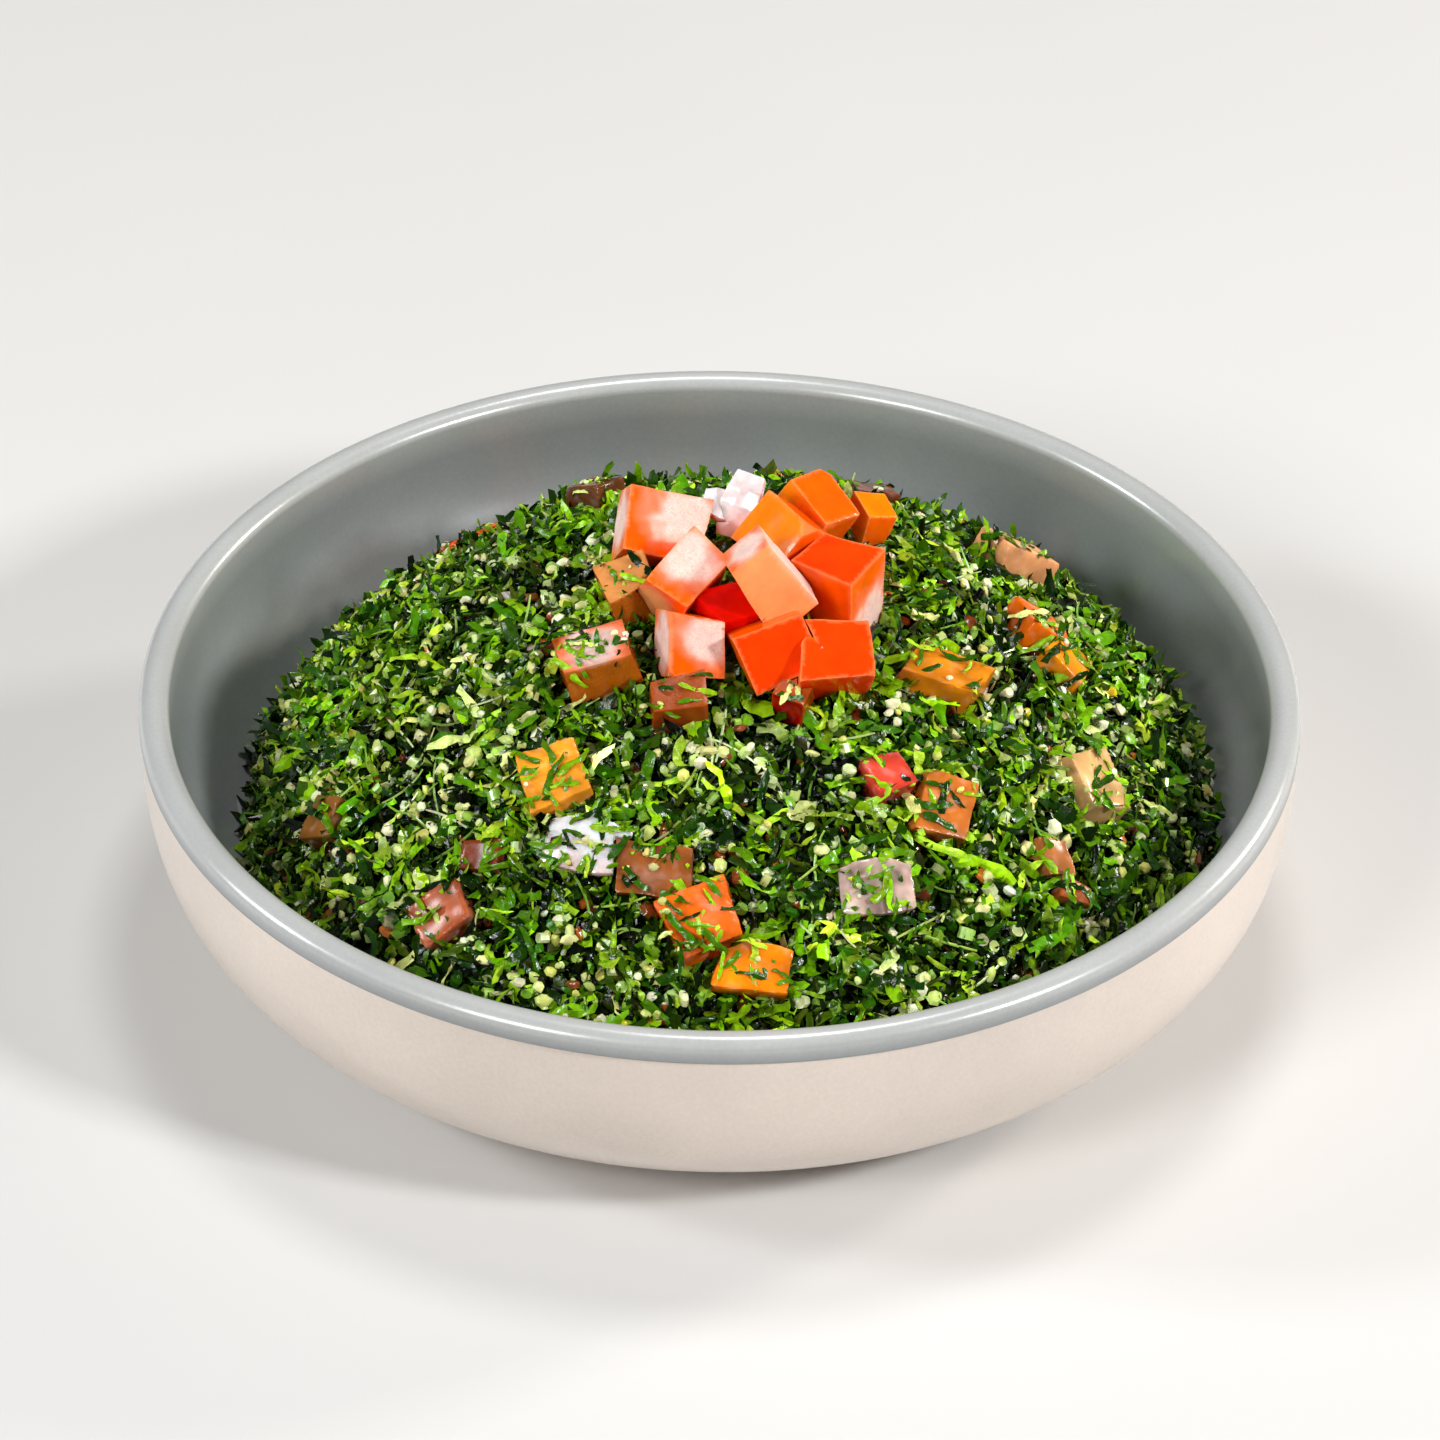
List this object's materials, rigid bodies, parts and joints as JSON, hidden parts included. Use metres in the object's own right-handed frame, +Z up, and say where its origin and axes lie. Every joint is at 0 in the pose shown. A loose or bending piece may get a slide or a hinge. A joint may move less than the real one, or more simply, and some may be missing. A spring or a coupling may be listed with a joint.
{
  "type": "tabbouleh salad in a bowl",
  "caption": "Shallow round bowl with a rolled lip, heaped with chopped parsley and bulgur salad, diced tomato and onion piled on the crown and bedded in the slopes.",
  "frame": {"origin": "centre of the bowl's foot, on the surface that it stands on", "axes": "+Z up through the crown of the heap, -Y towards the side with most of the tomato showing, +X to that side's right"},
  "size_m": [0.1808, 0.1808, 0.0756],
  "materials": {
    "stoneware": "satin grey glaze inside and over the lip, warm cream glaze outside",
    "chopped_salad": "moist chopped parsley with pale bulgur grains",
    "tomato": "wet cut flesh and smooth skin",
    "onion": "wet and slightly clear"
  },
  "bodies": {
    "root": {"bowl": "stoneware", "onion_pile_01": "onion", "onion_pile_02": "onion", "onion_sunk_01": "onion", "onion_sunk_02": "onion", "onion_sunk_03": "onion", "salad": "chopped_salad", "tomato_pile_01": "tomato", "tomato_pile_02": "tomato", "tomato_pile_03": "tomato", "tomato_pile_04": "tomato", "tomato_pile_05": "tomato", "tomato_pile_06": "tomato", "tomato_pile_07": "tomato", "tomato_pile_08": "tomato", "tomato_pile_09": "tomato", "tomato_pile_10": "tomato", "tomato_pile_11": "tomato", "tomato_pile_12": "tomato", "tomato_pile_13": "tomato", "tomato_pile_14": "tomato", "tomato_pile_15": "tomato", "tomato_sunk_01": "tomato", "tomato_sunk_02": "tomato", "tomato_sunk_03": "tomato", "tomato_sunk_04": "tomato", "tomato_sunk_05": "tomato", "tomato_sunk_06": "tomato", "tomato_sunk_07": "tomato", "tomato_sunk_08": "tomato", "tomato_sunk_09": "tomato", "tomato_sunk_10": "tomato", "tomato_sunk_11": "tomato", "tomato_sunk_12": "tomato", "tomato_sunk_13": "tomato", "tomato_sunk_14": "tomato", "tomato_sunk_15": "tomato", "tomato_sunk_16": "tomato", "tomato_sunk_17": "tomato", "tomato_sunk_18": "tomato", "tomato_sunk_19": "tomato", "tomato_sunk_20": "tomato", "tomato_sunk_21": "tomato", "tomato_sunk_22": "tomato", "tomato_sunk_23": "tomato", "tomato_sunk_24": "tomato"}
  },
  "joints": []
}
